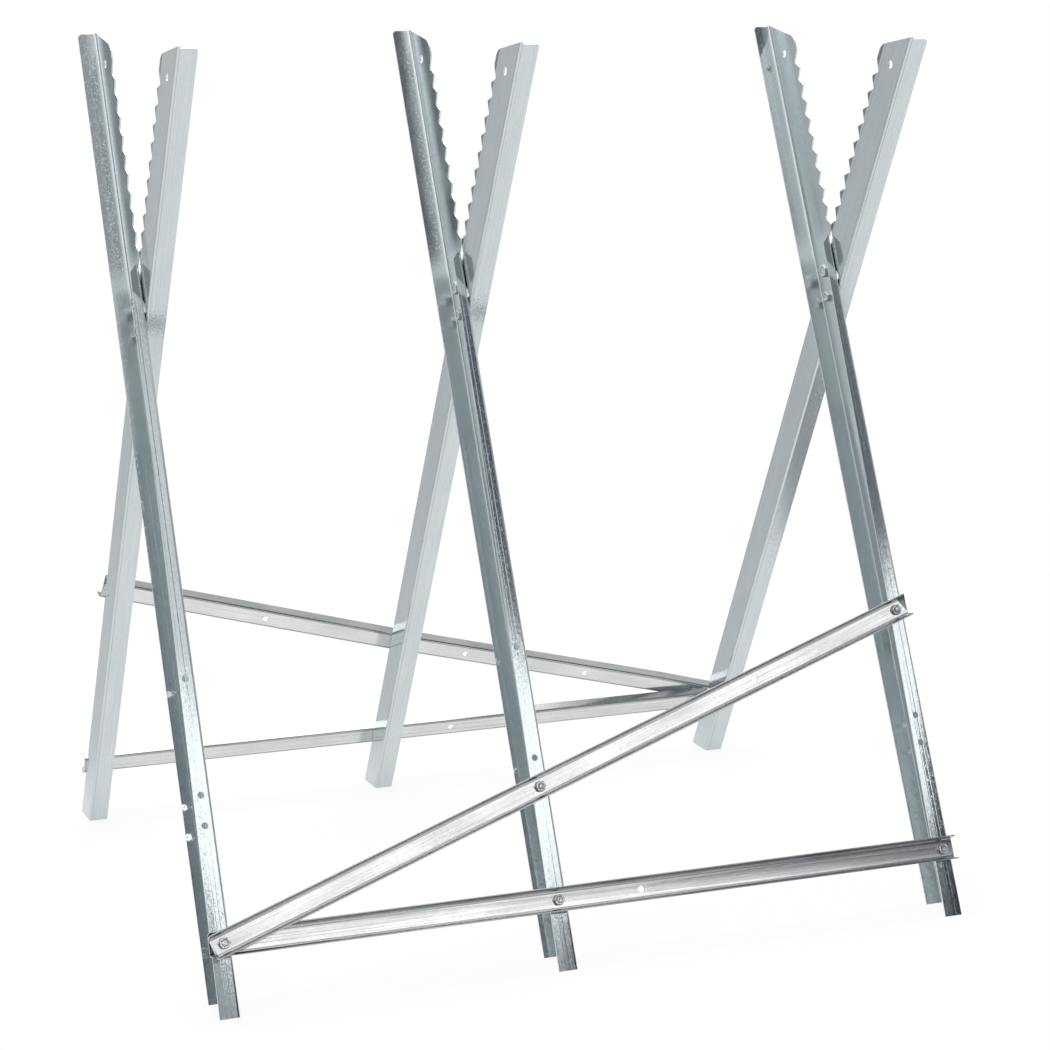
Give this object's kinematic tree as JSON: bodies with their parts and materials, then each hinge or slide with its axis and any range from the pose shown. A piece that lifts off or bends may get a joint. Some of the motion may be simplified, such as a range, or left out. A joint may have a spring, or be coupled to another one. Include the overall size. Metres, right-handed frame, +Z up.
{
  "type": "log saw stand",
  "caption": "Folding log saw stand of bent galvanised sheet: crossed pairs of toothed legs make a V cradle for a log, tied by low and diagonal rails in front and behind.",
  "frame": {"origin": "on the floor, midway between the outer pairs of legs and between the front and rear feet", "axes": "+X along the log, to the right as seen from the front; +Y from front to rear; +Z up"},
  "size_m": [0.8522, 0.6784, 0.92],
  "materials": {
    "leg_sheet": "galvanised sheet, fine spangle, half bright",
    "rail_sheet": "galvanised sheet, bright",
    "zinc_fasteners": "zinc plated"
  },
  "bodies": {
    "front_frame": {"front_leg_left": "leg_sheet", "front_leg_mid": "leg_sheet", "front_leg_right": "leg_sheet", "front_low_rail": "rail_sheet", "front_diagonal_rail": "rail_sheet", "front_low_rail_bolts": "zinc_fasteners", "front_low_rail_nuts": "zinc_fasteners", "front_diagonal_rail_bolts": "zinc_fasteners", "front_diagonal_rail_nuts": "zinc_fasteners", "front_shared_joint_bolts": "zinc_fasteners", "front_shared_joint_nuts": "zinc_fasteners", "pivot_bolt_left": "zinc_fasteners", "pivot_nut_left": "zinc_fasteners", "stop_bolt_left": "zinc_fasteners", "stop_washer_left": "zinc_fasteners", "stop_nut_left": "zinc_fasteners", "pivot_bolt_mid": "zinc_fasteners", "pivot_nut_mid": "zinc_fasteners", "stop_bolt_mid": "zinc_fasteners", "stop_washer_mid": "zinc_fasteners", "stop_nut_mid": "zinc_fasteners", "pivot_bolt_right": "zinc_fasteners", "pivot_nut_right": "zinc_fasteners", "stop_bolt_right": "zinc_fasteners", "stop_washer_right": "zinc_fasteners", "stop_nut_right": "zinc_fasteners"},
    "rear_frame": {"rear_leg_left": "leg_sheet", "rear_leg_mid": "leg_sheet", "rear_leg_right": "leg_sheet", "rear_low_rail": "rail_sheet", "rear_diagonal_rail": "rail_sheet", "rear_low_rail_bolts": "zinc_fasteners", "rear_low_rail_nuts": "zinc_fasteners", "rear_diagonal_rail_bolts": "zinc_fasteners", "rear_diagonal_rail_nuts": "zinc_fasteners", "rear_shared_joint_bolts": "zinc_fasteners", "rear_shared_joint_nuts": "zinc_fasteners"}
  },
  "joints": [
    {"name": "fold", "type": "hinge", "parent": "front_frame", "child": "rear_frame", "pos_m": [0, 0, 0.622], "axis": [-1, 0, 0], "range_deg": [0, 44]}
  ]
}
